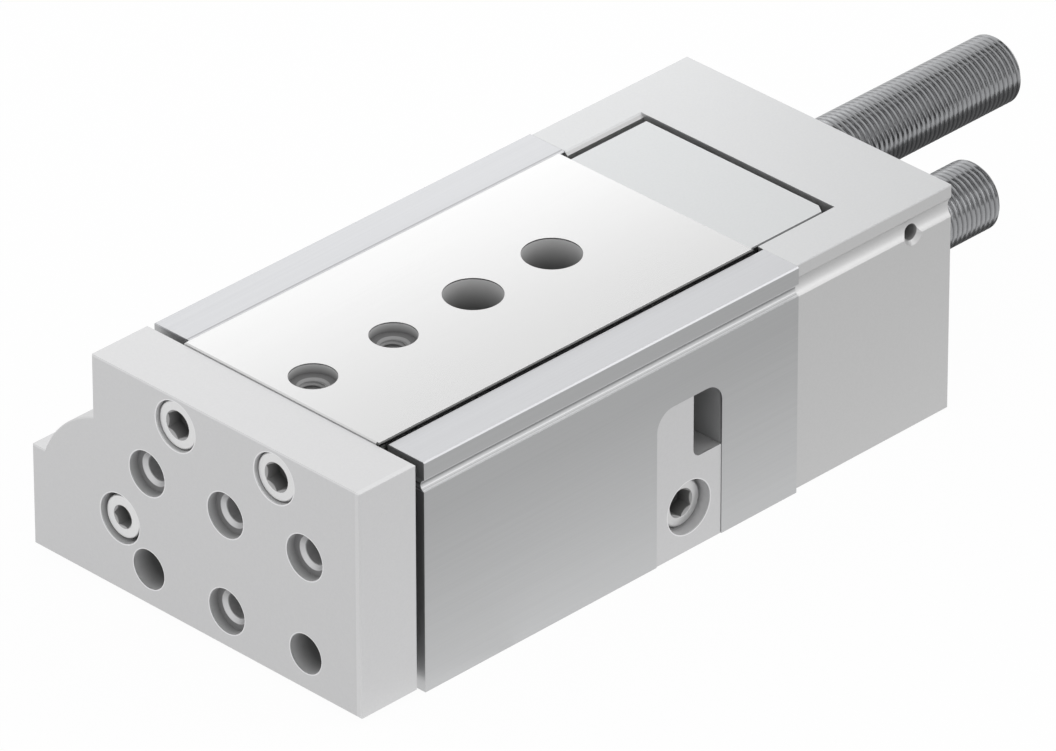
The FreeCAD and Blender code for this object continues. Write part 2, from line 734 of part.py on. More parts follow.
def piston():
    x = (piston_rear_x, piston_front_x)
    body = rod_x(bore_r - piston_clearance, x, cylinder_y, cylinder_z)
    grooves = [ring_x(bore_r, bore_r - piston_clearance - packing_depth, g, cylinder_y, cylinder_z)
               for g in piston_stations()]
    bore = rod_x(piston_stub_r + seat_slack, x, cylinder_y, cylinder_z)
    seat = rod_x(nut_seat_r, (x[0], x[0] + nut_length), cylinder_y, cylinder_z)
    return cut(body, bore, seat, *grooves)


def piston_ring(which, proud):
    g = piston_stations()[which]
    return ring_x(bore_r - proud, bore_r - piston_clearance - packing_depth + seat_slack, g,
                  cylinder_y, cylinder_z)


def piston_rod():
    body = rod_x(rod_r, (piston_front_x, yoke_rear_x), cylinder_y, cylinder_z)
    stub = rod_x(piston_stub_r, (piston_rear_x, piston_front_x), cylinder_y, cylinder_z)
    thread_x = (yoke_rear_x - rod_thread_depth, yoke_rear_x)
    thread = rod_x(M5[0] + thread_clearance, thread_x, cylinder_y, cylinder_z)
    return cut(fuse(body, stub), thread)


def piston_nut():
    body = hexagon_x(nut_width, (piston_rear_x, piston_rear_x + nut_length), cylinder_y, cylinder_z)
    hole = rod_x(piston_stub_r + seat_slack, (piston_rear_x, piston_front_x), cylinder_y, cylinder_z)
    return cut(body, hole)


def cushion(x, inner):
    """A rubber ring on the piston's end."""
    return ring_x(cushion_r, inner, x, cylinder_y, cylinder_z)


def ball_places():
    first = cage_middle_x - ball_pitch * (ball_count - 1) / 2
    return [first + ball_pitch * k for k in range(ball_count)]


def ball_cage():
    places = ball_places()
    body = box((places[0] - cage_end, places[-1] + cage_end),
               (race_y - cage_thickness / 2, race_y + cage_thickness / 2),
               (race_z - cage_half_height, race_z + cage_half_height))
    holes = [rod_y(ball_r + seat_slack, x, (race_y - cage_thickness, race_y + cage_thickness), race_z)
             for x in places]
    return cut(body, *holes)


def balls():
    return [Part.makeSphere(ball_r, vec(x, race_y, race_z)) for x in ball_places()]


def main():
    os.makedirs("parts", exist_ok=True)
    write("guide_housing", guide_housing())
    write("rear_housing", rear_housing())
    write("right_guide_rail", guide_rail())
    write("left_guide_rail", mirror_y(guide_rail()))
    write("stop_block", stop_block())
    write("stop_block_screw", stop_block_screw())
    write("rear_housing_screws", *[rear_screw(y, z) for y, z in rear_screw_places()])
    write("sleeve_clamp_screw", clamp_screw())
    write("rod_bearing", rod_bearing())
    write("rod_seal", rod_seal())
    write("rod_wiper", rod_wiper())
    write("gland_ring_seal", gland_oring())
    write("gland_circlip", circlip())

    write("slide_table", slide_table())
    write("yoke_plate", yoke_plate())
    left, right, rod = yoke_screw_places()
    reach = table_thread_depth - thread_end_gap
    write("yoke_screws", yoke_screw(*left, reach), yoke_screw(*right, reach))
    write("rod_screw", yoke_screw(*rod, rod_thread_depth - thread_end_gap, 30))
    write("stop_bracket", stop_bracket())
    write("bracket_screws", *[bracket_screw(y) for y in (-bracket_screw_y, bracket_screw_y)])
    write("piston_rod", piston_rod())
    write("piston", piston())
    write("piston_nut", piston_nut())
    write("piston_packings", piston_ring(0, packing_clearance), piston_ring(3, packing_clearance))
    write("piston_guide_ring", piston_ring(1, packing_clearance))
    write("piston_magnet", piston_ring(2, 2 * piston_clearance))
    write("front_cushion", cushion((piston_front_x, piston_front_x + cushion_thickness), rod_r + seat_slack))
    write("rear_cushion", cushion((piston_rear_x - cushion_thickness, piston_rear_x), cushion_bore_r))

    write("right_ball_cage", ball_cage())
    write("left_ball_cage", mirror_y(ball_cage()))
    write("right_balls", *balls())
    write("left_balls", *[mirror_y(b) for b in balls()])

    write("retract_sleeve", stop_sleeve(retract_tip_x, rear_end_x - retract_sleeve_out, -sleeve_y))
    write("retract_buffer", stop_buffer(retract_tip_x, -sleeve_y))
    write("advance_sleeve", stop_sleeve(advance_tip_x, rear_end_x - advance_sleeve_out, sleeve_y))
    write("advance_buffer", stop_buffer(advance_tip_x, sleeve_y))


main()
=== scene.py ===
# %% [markdown]
# # A pneumatic mini slide
# The real object is a block of aluminium with a ground steel table sliding in it. Its pieces are
# already modelled as solids, so this notebook gives them their finishes: brushed and matt
# aluminium, ground steel, zinc screws and dark threaded sleeves. Only what a solid model leaves
# plain is built here: the screw threads.

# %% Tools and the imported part
import json
import math

import bmesh
import bpy
import numpy as np
from mathutils import Matrix, Vector


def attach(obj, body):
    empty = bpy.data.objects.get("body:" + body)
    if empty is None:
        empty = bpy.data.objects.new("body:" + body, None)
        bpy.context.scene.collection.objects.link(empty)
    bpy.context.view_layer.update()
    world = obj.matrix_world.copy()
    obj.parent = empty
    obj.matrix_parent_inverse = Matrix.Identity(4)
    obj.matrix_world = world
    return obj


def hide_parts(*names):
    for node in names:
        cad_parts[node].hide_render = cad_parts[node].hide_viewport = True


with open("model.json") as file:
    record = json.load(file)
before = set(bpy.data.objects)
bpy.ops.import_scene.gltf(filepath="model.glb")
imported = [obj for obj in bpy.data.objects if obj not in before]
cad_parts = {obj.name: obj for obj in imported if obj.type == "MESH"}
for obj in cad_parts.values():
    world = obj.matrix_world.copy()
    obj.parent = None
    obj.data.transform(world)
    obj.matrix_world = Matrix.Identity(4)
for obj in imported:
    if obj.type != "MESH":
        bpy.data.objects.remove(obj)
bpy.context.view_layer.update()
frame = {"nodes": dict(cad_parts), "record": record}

# %% [markdown]
# ## Sizes
# Blender works in metres and the drawing in millimetres. Every size below is written in
# millimetres and multiplied by `MM`, so it can be compared with the drawing at a glance.

# %% Sizes shared with the solid model
MM = 0.001
X, Y, Z = range(3)
SLEEVE_RADIUS = 7.0 * MM
SLEEVE_HEIGHT = 26.9 * MM
SLEEVE_SIDE = 14.6 * MM
SLEEVE_PITCH = 1.25 * MM
RETRACT_SLEEVE = (-143.6 * MM, -57.4 * MM)
ADVANCE_SLEEVE = (-106.4 * MM, -42.1 * MM)
SCREW_THREAD_RADIUS = 2.5 * MM
SCREW_PITCH = 1.0 * MM
YOKE_FRONT = 71.9 * MM
TABLE_TOP = 48.2 * MM
SEAT_DEPTH = 2.1 * MM
SEAT_RADIUS = 4.5 * MM
TABLE_THREAD_BEVEL = 0.5 * MM
YOKE_THREAD_BEVEL = 0.8 * MM
HOLE_GRID = 20.0 * MM
HOLE_ROW = 28.9 * MM
DOWEL_RADIUS = 3.95 * MM
ACCESS_RADIUS = 5.65 * MM
YOKE_SCREWS = ((-12.5 * MM, 41.9 * MM), (12.5 * MM, 41.9 * MM))
ROD_SCREW = (-27.3 * MM, 16.4 * MM)
COUNTERBORE_RADIUS = 5.0 * MM
YOKE_SCREW_SINK = 0.6 * MM
ROD_SCREW_SINK = 0.7 * MM
GUIDE_TOP = 47.6 * MM
GUIDE_SIDE = 34.1 * MM
REAR_SIDE = 33.45 * MM
BLOCK_FACE = 33.95 * MM
BLOCK_SCREW = (-10.7 * MM, 9.1 * MM)
BLOCK_BORE_RADIUS = 5.45 * MM
BLOCK_SCREW_SINK = 2.0 * MM
REAR_END = -79.5 * MM
REAR_SCREWS = ((28.8 * MM, 34.0 * MM), (-28.8 * MM, 34.0 * MM),
               (28.8 * MM, 8.0 * MM), (-40.0 * MM, 8.0 * MM))
REAR_BORE_RADIUS = 4.45 * MM
CROSS_HOLE = (-69.4 * MM, 41.35 * MM)
CROSS_RADIUS = 1.6 * MM
print("long sleeve radius", SLEEVE_RADIUS / MM, "mm, thread pitch", SLEEVE_PITCH / MM, "mm")

# %% [markdown]
# ## The camera
# The photograph was taken from far away with a long lens, so parallel edges stay almost parallel.
# Two angles and a small roll give the directions right, up and back, and those are the columns
# of the camera's matrix. The focal length is known in pixels of a picture 1056 pixels wide. A
# sensor 36 mm wide turns it into millimetres.

# %% Camera
PICTURE_WIDTH = 1056
FOCAL_PIXELS = 12281
SENSOR = 36.0
AZIMUTH = math.radians(134.853)
ELEVATION = math.radians(31.070)
ROLL = math.radians(-0.088)
EYE = Vector((1.34083, 1.33782, 1.16815))
CLIP_END = 20

back = Vector((math.sin(AZIMUTH) * math.cos(ELEVATION),
               -math.cos(AZIMUTH) * math.cos(ELEVATION), math.sin(ELEVATION)))
level = Vector((0, 0, 1)).cross(back).normalized()
plumb = back.cross(level)
right = math.cos(ROLL) * level + math.sin(ROLL) * plumb
up = math.cos(ROLL) * plumb - math.sin(ROLL) * level

camera_data = bpy.data.cameras.new("camera")
camera_data.sensor_width = SENSOR
camera_data.sensor_fit = "HORIZONTAL"
camera_data.lens = FOCAL_PIXELS / PICTURE_WIDTH * SENSOR
camera_data.clip_end = CLIP_END
camera = bpy.data.objects.new("camera", camera_data)
camera.matrix_world = Matrix((
    (right.x, up.x, back.x, EYE.x),
    (right.y, up.y, back.y, EYE.y),
    (right.z, up.z, back.z, EYE.z),
    (0, 0, 0, 1)))
bpy.context.scene.collection.objects.link(camera)
bpy.context.scene.camera = camera
bpy.context.scene.view_settings.view_transform = "Standard"
print("lens", round(camera_data.lens, 1), "mm, eye", [round(v, 3) for v in EYE])

# %% [markdown]
# ## Shader sums as Python
# A finish is a sum of a few patterns. Written as nodes it is a web of Math nodes. One small class
# wraps a socket, so that `1 - mask * 0.2` builds those nodes by itself.

# %% One class for shader sums
class Wire:
    """One output socket of a shader node. Sums and products with numbers or wires add Math nodes."""

    def __init__(self, tree, socket=None):
        self.tree = tree
        self.socket = socket

    def node(self, kind, settings=None, sockets=None, out=0):
        """Adds a node: first its settings, then the values or wires of its sockets."""
        node = self.tree.nodes.new("ShaderNode" + kind)
        for name, value in (settings or {}).items():
            setattr(node, name, value)
        for name, value in (sockets or {}).items():
            self.plug(node.inputs[name], value)
        return Wire(self.tree, node.outputs[out])

    def plug(self, target, value):
        """Joins a wire to a socket, or writes a plain value into it."""
        if isinstance(value, Wire):
            self.tree.links.new(value.socket, target)
        else:
            target.default_value = value

    def sum_node(self, operation, first, second):
        return self.node("Math", {"operation": operation}, {0: first, 1: second})

    def __add__(self, other):
        return self.sum_node("ADD", self, other)

    def __radd__(self, other):
        return self.sum_node("ADD", other, self)

    def __sub__(self, other):
        return self.sum_node("SUBTRACT", self, other)

    def __rsub__(self, other):
        return self.sum_node("SUBTRACT", other, self)

    def __mul__(self, other):
        return self.sum_node("MULTIPLY", self, other)

    def __rmul__(self, other):
        return self.sum_node("MULTIPLY", other, self)

    def power(self, exponent):
        return self.sum_node("POWER", self, exponent)

    def under(self, limit):
        """1 where the wire is below the limit, else 0."""
        return self.sum_node("LESS_THAN", self, limit)

    def over(self, limit):
        """1 where the wire is above the limit, else 0."""
        return self.sum_node("GREATER_THAN", self, limit)

    def blend(self, low, high):
        """The colour low where the wire is 0, high where it is 1, and beyond high above 1.

        Either colour may be a wire itself.
        """
        low, high = [end if isinstance(end, Wire) else (*end, 1) for end in (low, high)]
        settings = {"data_type": "RGBA", "clamp_factor": False}
        return self.node("Mix", settings, {0: self, 6: low, 7: high}, out=2)

    def clamped(self, low, high):
        """The wire's range low to high spread over 0 to 1 and cut off there."""
        return self.node("MapRange", {"clamp": True}, {0: self, 1: low, 2: high})


print("shader sums ready")

# %% [markdown]
# ## Finishes
# Metal looks like metal because of what it mirrors and how blurred that mirror is. Each finish
# sets the colour, how metallic it is and how rough. What changes over the surface is faint:
# brushing leaves long fine lines, blasting leaves an even grain.
# Every pattern reads Object coordinates, which are metres on the part itself.

# %% Patterns that finishes share
GRAIN_DETAIL = 3.0


def place(tree):
    """The point on the part, as a wire with its three coordinates."""
    return Wire(tree).node("TexCoord", out=3)


def along(tree, axis):
    """The Object coordinate along one axis, in metres."""
    point = place(tree)
    return point.node("SeparateXYZ", {}, {0: point}, out=axis)


def grain(tree, stretch):
    """Noise from 0 to 1. stretch is how many grains fit in a metre along X, Y and Z."""
    point = place(tree)
    scaled = point.node("Mapping", {}, {"Vector": point, "Scale": stretch})
    return scaled.node("TexNoise", {}, {"Vector": scaled, "Scale": 1.0, "Detail": GRAIN_DETAIL})


print("patterns ready")

# %% [markdown]
# ### Bored walls and their painted shade
# The walls of holes are cut by drills and mills, so they are duller than the outer faces round them.
# Their colour is also darkened there, and darker still further in: this is painted shade. A mask
# finds them from the drawing alone: a point belongs to a hole when it is nearer to the hole's axis
# than its radius and deeper than its mouth. A stepped hole keeps the bevel at its thread's mouth out
# of that painted shade, a ring that catches the light. The other way would be a second material on
# the hole's faces, but a mask also fades with the depth.

# %% A mask for holes
LIP = 0.25 * MM
SOFT = 0.15 * MM
REACH = 0.05 * MM
DARKEST = 1.1
BORE_LIGHT = 0.35


def hole(axis, centre, radius, face, inward, ring=None, lip=LIP, mouth=0.1):
    """One hole along axis X, Y or Z, whose mouth lies at face and which runs the way inward, 1 or -1.

    ring is the inner and outer radius of a bevel inside it and how far that is kept out of the
    painted shade. lip is the depth where the wall starts, and mouth is how dark that shade is there.
    """
    return {"axis": axis, "centre": centre, "radius": radius, "face": face, "inward": inward,
            "ring": ring, "lip": lip, "mouth": mouth}


def from_hole(tree, one):
    """The distance to a hole's axis, the root of two squares, and the depth below its mouth."""
    first, second = [along(tree, axis) for axis in (X, Y, Z) if axis != one["axis"]]
    first, second = first - one["centre"][0], second - one["centre"][1]
    depth = (along(tree, one["axis"]) - one["face"]) * one["inward"]
    return (first * first + second * second).power(0.5), depth


def hole_mask(tree, one):
    """Two masks of a hole: where its wall is, and how dark its painted shade is from its mouth inwards.

    A plain hole is darkest DARKEST times its radius below its mouth, a stepped one at its seat.
    The bore behind a bevel is lighter by BORE_LIGHT.
    """
    away, depth = from_hole(tree, one)
    inside = away.under(one["radius"] + REACH) * depth.over(one["lip"])
    end = SEAT_DEPTH if one["ring"] else DARKEST * one["radius"]
    deep = one["mouth"] + (1 - one["mouth"]) * depth.clamped(0, end)
    if one["ring"]:
        inner, outer, shine = one["ring"]
        ring = away.clamped(inner, inner + SOFT) - away.clamped(outer, outer + SOFT)
        inside = inside * (1 - shine * ring)
        deep = deep * (1 - BORE_LIGHT * away.under(inner))
    return inside, inside * deep


def bored(tree, holes):
    """The masks of several holes in one."""
    walls, hole_shade = hole_mask(tree, holes[0])
    for one in holes[1:]:
        inside, deep = hole_mask(tree, one)
        walls, hole_shade = walls + inside, hole_shade + deep
    return walls, hole_shade


print("hole masks ready")

# %% [markdown]
# A narrow ring round each hole's mouth is painted lighter, a painted highlight that shows as a
# light line. It lies on the outer face, so it takes a mask of its own.

# %% Rings round the mouths
RIM = 0.23 * MM


def rim_highlights(tree, holes):
    """1 on a narrow ring round the mouth of each hole, where a highlight is painted, and 0 elsewhere."""
    total = 0
    for one in holes:
        away, depth = from_hole(tree, one)
        ring = away.over(one["radius"] - REACH) * away.under(one["radius"] + RIM)
        total = ring * depth.under(LIP) * depth.over(-LIP) + total
    return total


print("rings", round(RIM / MM, 2), "mm wide")

# %% [markdown]
# ### Zones
# A flank, a groove or a pocket looks lighter or darker than the rest of its piece, by what it faces.
# That light and shade is painted into the tone: a box in the part's own coordinates marks each such
# zone of painted light or painted shade. A zone can also come on gradually along one axis, as on the
# flank that grows lighter toward its foot.

# %% Boxes and shades
EVERYWHERE = (-1, 1)
BELOW_TOP = (-1 * MM, GUIDE_TOP - 0.3 * MM)
BELOW_TOP_BOX = (EVERYWHERE, EVERYWHERE, BELOW_TOP)
WINDOW = ((-19.3 * MM, -2.0 * MM), (9.0 * MM, 33.7 * MM), (-1.0 * MM, 32.3 * MM))
SLOT_FLOOR = 16 * MM
BLOCK_SLOT = (*WINDOW[:2], (SLOT_FLOOR, WINDOW[Z][1]))


def in_box(tree, box):
    """1 inside a box of three (low, high) pairs and 0 outside it."""
    inside = 1
    for axis, (low, high) in enumerate(box):
        value = along(tree, axis)
        inside = value.over(low) * value.under(high) * inside
    return inside


def shade(box, tone, ramp=None):
    """A zone of painted light or shade: the tone times a factor, below 1 darker and above 1 lighter.

    With ramp = axis, start, end the factor comes on gradually from start to end.
    """
    return {"box": box, "tone": tone, "ramp": ramp}


def shaded(tree, one):
    """The factor of one shade at each point."""
    inside = in_box(tree, one["box"])
    if one["ramp"]:
        axis, start, end = one["ramp"]
        inside = inside * along(tree, axis).clamped(start, end)
    return 1 - (1 - one["tone"]) * inside


print("window, mm:", [[round(v / MM, 1) for v in pair] for pair in WINDOW])

# %% [markdown]
# The roots of a thread see less of the sky than its crests, so they are darker. How far a point is
# from the sleeve's axis tells a root from a crest.

# %% Roots and crests
ROOT_DEPTH = 0.25 * MM


def crests(tree):
    """0 at the roots of the stop sleeves' threads and 1 at their crests.

    The distance to the nearer sleeve's axis is the root of side squared plus height squared. Both
    axes lie SLEEVE_SIDE from the middle, so the side is the size of y less SLEEVE_SIDE.
    """
    side = (along(tree, Y) * along(tree, Y)).power(0.5) - SLEEVE_SIDE
    height = along(tree, Z) - SLEEVE_HEIGHT
    return (side * side + height * height).power(0.5).clamped(SLEEVE_RADIUS - ROOT_DEPTH, SLEEVE_RADIUS)


print("roots", ROOT_DEPTH / MM, "mm below the crests")

# %% [markdown]
# ### Finishes by name
# Every piece of the real object is made of one material, and the record names a slot for it. So
# each finish is made once and kept under its slot's name. Rubber and plastic mirror little, so
# they need only a colour and a roughness.

# %% New and plain finishes
finishes = {}


def new_finish(slot):
    """An empty finish, kept under the name of its slot, and its shader."""
    material = bpy.data.materials.new(slot)
    material.use_nodes = True
    finishes[slot] = material
    return material, material.node_tree.nodes["Principled BSDF"]


def plain(slot, colour, roughness):
    """A finish without metal that is the same all over."""
    material, shader = new_finish(slot)
    shader.inputs["Base Color"].default_value = (*colour, 1)
    shader.inputs["Roughness"].default_value = roughness
    return material


print("plain recipe ready")

# %% [markdown]
# ### One recipe for every metal
# The tone is a number that multiplies the finish's own colour: grain lowers it a little, painted
# shade in holes and in shaded zones lowers it more, and a zone of painted light or a painted highlight
# round a hole's mouth raises it above 1. Where the tone is 1 the colour is the one that is written.
# One function holds the recipe, so each metal below is a line or two that says only how it differs.

# %% Metal finishes
GRAIN_HEIGHT = 0.02 * MM
GRAIN_RANGE = (0.3, 0.7)


def metal(slot, colour, roughness, stretch, spread, relief=0.0, holes=(), dark=0.6, dull=0.0,
          flank=None, pocket=None, roots=1.0, shades=(), rim=0.0):
    """A metal finish. The tone falls by spread with the grain; dark in holes and each shade paint shade
    and light.

    dull takes that much of the metal's mirror from the walls of holes and of the box named pocket.
    flank is another colour for everything inside a box. roots is the tone of the stop sleeves' roots.
    rim is how much lighter the narrow ring round each hole's mouth is, a painted highlight.
    """
    material, shader = new_finish(slot)
    tree = material.node_tree
    shader.inputs["Metallic"].default_value = 1.0
    pattern = grain(tree, stretch)
    contrast = pattern.clamped(*GRAIN_RANGE)
    tone = 1 - spread * contrast
    for one in shades:
        tone = tone * shaded(tree, one)
    if roots < 1:
        tone = tone * (roots + (1 - roots) * crests(tree))
    coarse = roughness + spread * contrast
    walls = 0
    if holes:
        walls, hole_shade = bored(tree, holes)
        # painted shade: the walls of holes darken, more so further in
        tone = tone * (1 - dark * hole_shade)
    if rim:
        # painted highlight on the narrow ring round each hole's mouth
        tone = tone * (1 + rim * rim_highlights(tree, holes))
    if pocket:
        walls = in_box(tree, pocket) + walls
    if dull:
        coarse = coarse + dull * walls * (1 - roughness)
        pattern.plug(shader.inputs["Metallic"], 1 - dull * walls)
    if flank:
        colour = in_box(tree, flank[0]).blend(colour, flank[1])
    pattern.plug(shader.inputs["Base Color"], tone.blend((0, 0, 0), colour))
    pattern.plug(shader.inputs["Roughness"], coarse)
    if relief:
        heights = {"Strength": relief, "Distance": GRAIN_HEIGHT, "Height": pattern}
        bump = pattern.node("Bump", {}, heights)
        pattern.plug(shader.inputs["Normal"], bump)


print("metal recipe ready")

# %% [markdown]
# ### Aluminium
# The guide housing is an extrusion brushed along its length, and its top is milled bright. The
# rear housing, the yoke and the stop block are milled from plate and blasted matt, so they have
# an even grain. The holes come first, each with its axis, centre, radius and mouth.

# %% Holes in the aluminium pieces
ROW_PLACES = (-HOLE_GRID, 0, HOLE_GRID)
LOW_ROW = HOLE_ROW - HOLE_GRID
yoke_ring = (SCREW_THREAD_RADIUS, SCREW_THREAD_RADIUS + YOKE_THREAD_BEVEL, 1.0)
yoke_seats = [(y, HOLE_ROW) for y in ROW_PLACES] + [(0, LOW_ROW)]
yoke_holes = [hole(X, at, SEAT_RADIUS, YOKE_FRONT, -1, yoke_ring) for at in yoke_seats]
yoke_holes += [hole(X, (y, LOW_ROW), DOWEL_RADIUS, YOKE_FRONT, -1) for y in ROW_PLACES[::2]]
yoke_holes += [hole(X, at, COUNTERBORE_RADIUS, YOKE_FRONT, -1) for at in (*YOKE_SCREWS, ROD_SCREW)]
block_holes = [hole(Y, BLOCK_SCREW, BLOCK_BORE_RADIUS, BLOCK_FACE, -1)]
rear_holes = [hole(X, at, REAR_BORE_RADIUS, REAR_END, 1) for at in REAR_SCREWS]
rear_holes += [hole(Y, CROSS_HOLE, CROSS_RADIUS, REAR_SIDE, -1)]
print("holes:", len(yoke_holes), len(block_holes), len(rear_holes))

# %% [markdown]
# Both housings have a groove along their side. Seen from above, the foot of each groove mirrors
# the sky and is the lightest line on the side, and its upper wall fades into shadow; both are
# painted into the tone here, as painted highlight lines and painted shade. The flank of the guide
# housing grows darker toward the top and toward the rear, the yoke's front toward its foot, and the
# yoke's side is lighter: painted shade and painted light for how the light falls on them. The far gap
# beside the table and the window pocket get painted shade. Each pair of numbers below is a zone's
# reach along one axis, and each tone is measured off the photograph.

# %% Zones of the aluminium pieces
FLANK_HEIGHTS = (0, 36 * MM)
FLANK_LENGTH = (50 * MM, -50 * MM)
GROOVE_IN = 30 * MM
GUIDE_GROOVE = (41.45 * MM, 43.95 * MM)
FOOT_LINE = (41.45 * MM, 41.68 * MM)
DARK_LINE = (41.72 * MM, 42.0 * MM)
UPPER_WALL = (42.5 * MM, 43.1 * MM)
UPPER_FADE = (42.5 * MM, 42.9 * MM)
UPPER_EDGE = (43.9 * MM, 44.12 * MM)
OUTER_FACE = (34 * MM, 35 * MM)
REAR_GROOVE = (40.75 * MM, 44.95 * MM)
REAR_UPPER_WALL = (42.4 * MM, 44.95 * MM)
REAR_FADE = (42.4 * MM, 43.2 * MM)
FAR_GAP = ((-25.85 * MM, -25.45 * MM), (47 * MM, 48 * MM))
YOKE_FLANK = 32.8 * MM
YOKE_HEIGHTS = (46 * MM, 0)

guide_side = (EVERYWHERE, (GROOVE_IN, GUIDE_SIDE - REACH))
rear_side = (EVERYWHERE, (GROOVE_IN, REAR_SIDE - REACH))
# painted shade: the guide housing's flank darkens toward the top and toward the rear
flank_fades = [shade(BELOW_TOP_BOX, 0.78, (Z, *FLANK_HEIGHTS)),
               shade(BELOW_TOP_BOX, 0.9, (X, *FLANK_LENGTH))]
# painted highlight lines and painted shade in the groove and on its upper edge
groove_lines = [shade((*guide_side, GUIDE_GROOVE), 1.28),
                shade((*guide_side, FOOT_LINE), 1.2),
                shade((*guide_side, DARK_LINE), 0.7),
                shade((EVERYWHERE, OUTER_FACE, UPPER_EDGE), 1.2),
                shade((*guide_side, UPPER_WALL), 0.5, (Z, *UPPER_FADE))]
# the guide housing also takes painted shade in the far gap beside the table and in its window pocket
guide_shades = [*flank_fades, *groove_lines, shade((EVERYWHERE, *FAR_GAP), 0.7), shade(WINDOW, 0.54)]
# painted light in the rear groove and painted shade on its upper wall
rear_shades = [shade((*rear_side, REAR_GROOVE), 1.1),
               shade((*rear_side, REAR_UPPER_WALL), 0.92, (Z, *REAR_FADE))]
# painted shade on the yoke's front, darker toward its foot, and painted light on its side
yoke_shades = [shade((EVERYWHERE, (-1, YOKE_FLANK), EVERYWHERE), 0.955, (Z, *YOKE_HEIGHTS)),
               shade((EVERYWHERE, (YOKE_FLANK, 1), EVERYWHERE), 1.055)]
print("zones:", len(guide_shades), len(rear_shades), len(yoke_shades))

# %% [markdown]
# Brushing draws the grain out along X, so it fits only a few times in a metre that way and
# thousands of times across. Blasting leaves a grain of the same size in every direction.

# %% Aluminium finishes
ALONG_X = (14, 3200, 3200)
EVEN = (2400, 2400, 2400)
metal("guide_housing", (0.62, 0.625, 0.64), 0.42, ALONG_X, 0.03, 0.015, dull=0.9, pocket=WINDOW,
      flank=(BELOW_TOP_BOX, (0.635, 0.64, 0.645)), shades=guide_shades)
# painted shade: the rear housing's sides take a darker colour than its top
metal("rear_housing", (0.70, 0.705, 0.71), 0.5, EVEN, 0.02, holes=rear_holes, dull=0.5,
      flank=(BELOW_TOP_BOX, (0.605, 0.605, 0.605)), shades=rear_shades)
# painted shade in the stop block's slot and bore, and a painted highlight round the bore's mouth
metal("stop_block", (0.66, 0.66, 0.665), 0.5, EVEN, 0.02, holes=block_holes, dark=0.15, dull=0.5,
      pocket=BLOCK_SLOT, shades=[shade(BLOCK_SLOT, 0.65)], rim=0.25)
# painted shade in the yoke's holes, and a painted highlight round their mouths
metal("yoke_plate", (0.70, 0.70, 0.705), 0.5, EVEN, 0.02, holes=yoke_holes, dull=0.5, rim=0.25,
      shades=yoke_shades)
metal("piston_aluminium", (0.70, 0.70, 0.71), 0.4, EVEN, 0.03)
print("aluminium finishes:", len(finishes))

# %% [markdown]
# ### Steel
# The table is ground, so it is bright and almost white under a broad lamp. Screws are zinc plated,
# and their sockets are dark inside, with painted shade. The sleeves are dark, and the guide rails,
# balls and rod are polished. The edges of the table and the cover stand in narrow gaps, and their
# shade is painted into the tone. The holes in the table take painted shade too, and the heads of the
# yoke's front screws get painted light.

# %% Holes and zones of the steel pieces
SOCKET_RADIUS = 2.9 * MM
HEAD_ZONE = 10 * MM
TABLE_SIDE = 23.9 * MM
TABLE_EDGE_FOOT = 47.5 * MM
COVER_SIDE = 23.3 * MM
JUST_BELOW = 0.02 * MM
SEAT_PLACES = (1.5 * HOLE_GRID, 2.5 * HOLE_GRID)
ACCESS_PLACES = (-HOLE_GRID / 2, HOLE_GRID / 2)
table_ring = (SCREW_THREAD_RADIUS, SCREW_THREAD_RADIUS + TABLE_THREAD_BEVEL, 0.4)
# painted shade in the table's holes, lighter on the bevel at each thread's mouth
table_holes = [hole(Z, (x, 0), SEAT_RADIUS, TABLE_TOP, -1, table_ring) for x in SEAT_PLACES]
table_holes += [hole(Z, (x, 0), ACCESS_RADIUS, TABLE_TOP, -1) for x in ACCESS_PLACES]
socket_places = [(X, at, YOKE_FRONT - YOKE_SCREW_SINK) for at in YOKE_SCREWS]
socket_places += [(X, ROD_SCREW, YOKE_FRONT - ROD_SCREW_SINK),
                  (Y, BLOCK_SCREW, BLOCK_FACE - BLOCK_SCREW_SINK)]
# painted shade inside the screws' sockets
sockets = [hole(axis, at, SOCKET_RADIUS, face, -1, lip=JUST_BELOW, mouth=0.5)
           for axis, at, face in socket_places]
# painted shade along the table's and the cover's edges, where they stand in narrow gaps
table_shades = [shade((EVERYWHERE, (TABLE_SIDE, 1), (TABLE_EDGE_FOOT, TABLE_TOP - JUST_BELOW)), 0.15)]
cover_shades = [shade((EVERYWHERE, (COVER_SIDE, 1), (0, GUIDE_TOP - JUST_BELOW)), 0.25)]
# painted light on the heads of the yoke's front screws
front_screw_light = [shade(((YOKE_FRONT - HEAD_ZONE, 1), EVERYWHERE, EVERYWHERE), 1.15)]
print("holes in the table:", len(table_holes), "sockets:", len(sockets))

# %% [markdown]
# Grinding runs along X like brushing, but finer, and it leaves the table the smoothest of all the
# outer faces. Bronze, spring steel and the black clamp screw are seen only in the open holes.

# %% Steel finishes
GROUND = (20, 2400, 2400)
metal("slide_table", (0.65, 0.65, 0.65), 0.24, GROUND, 0.01, holes=table_holes, dark=0.7, dull=0.9,
      shades=table_shades)
metal("stop_bracket", (0.68, 0.69, 0.695), 0.48, EVEN, 0.02, shades=cover_shades)
metal("zinc_screws", (0.70, 0.70, 0.70), 0.34, EVEN, 0.03, holes=sockets, dark=0.82, dull=0.35,
      shades=front_screw_light)
metal("sleeve_steel", (0.375, 0.38, 0.39), 0.2, EVEN, 0.03, roots=0.5)
metal("black_screw", (0.08, 0.08, 0.08), 0.4, EVEN, 0.05)
metal("hardened_steel", (0.72, 0.72, 0.73), 0.15, EVEN, 0.02)
metal("spring_steel", (0.25, 0.25, 0.26), 0.4, EVEN, 0.03)
metal("bearing_bronze", (0.62, 0.47, 0.27), 0.35, EVEN, 0.03)
print("finishes so far:", len(finishes))

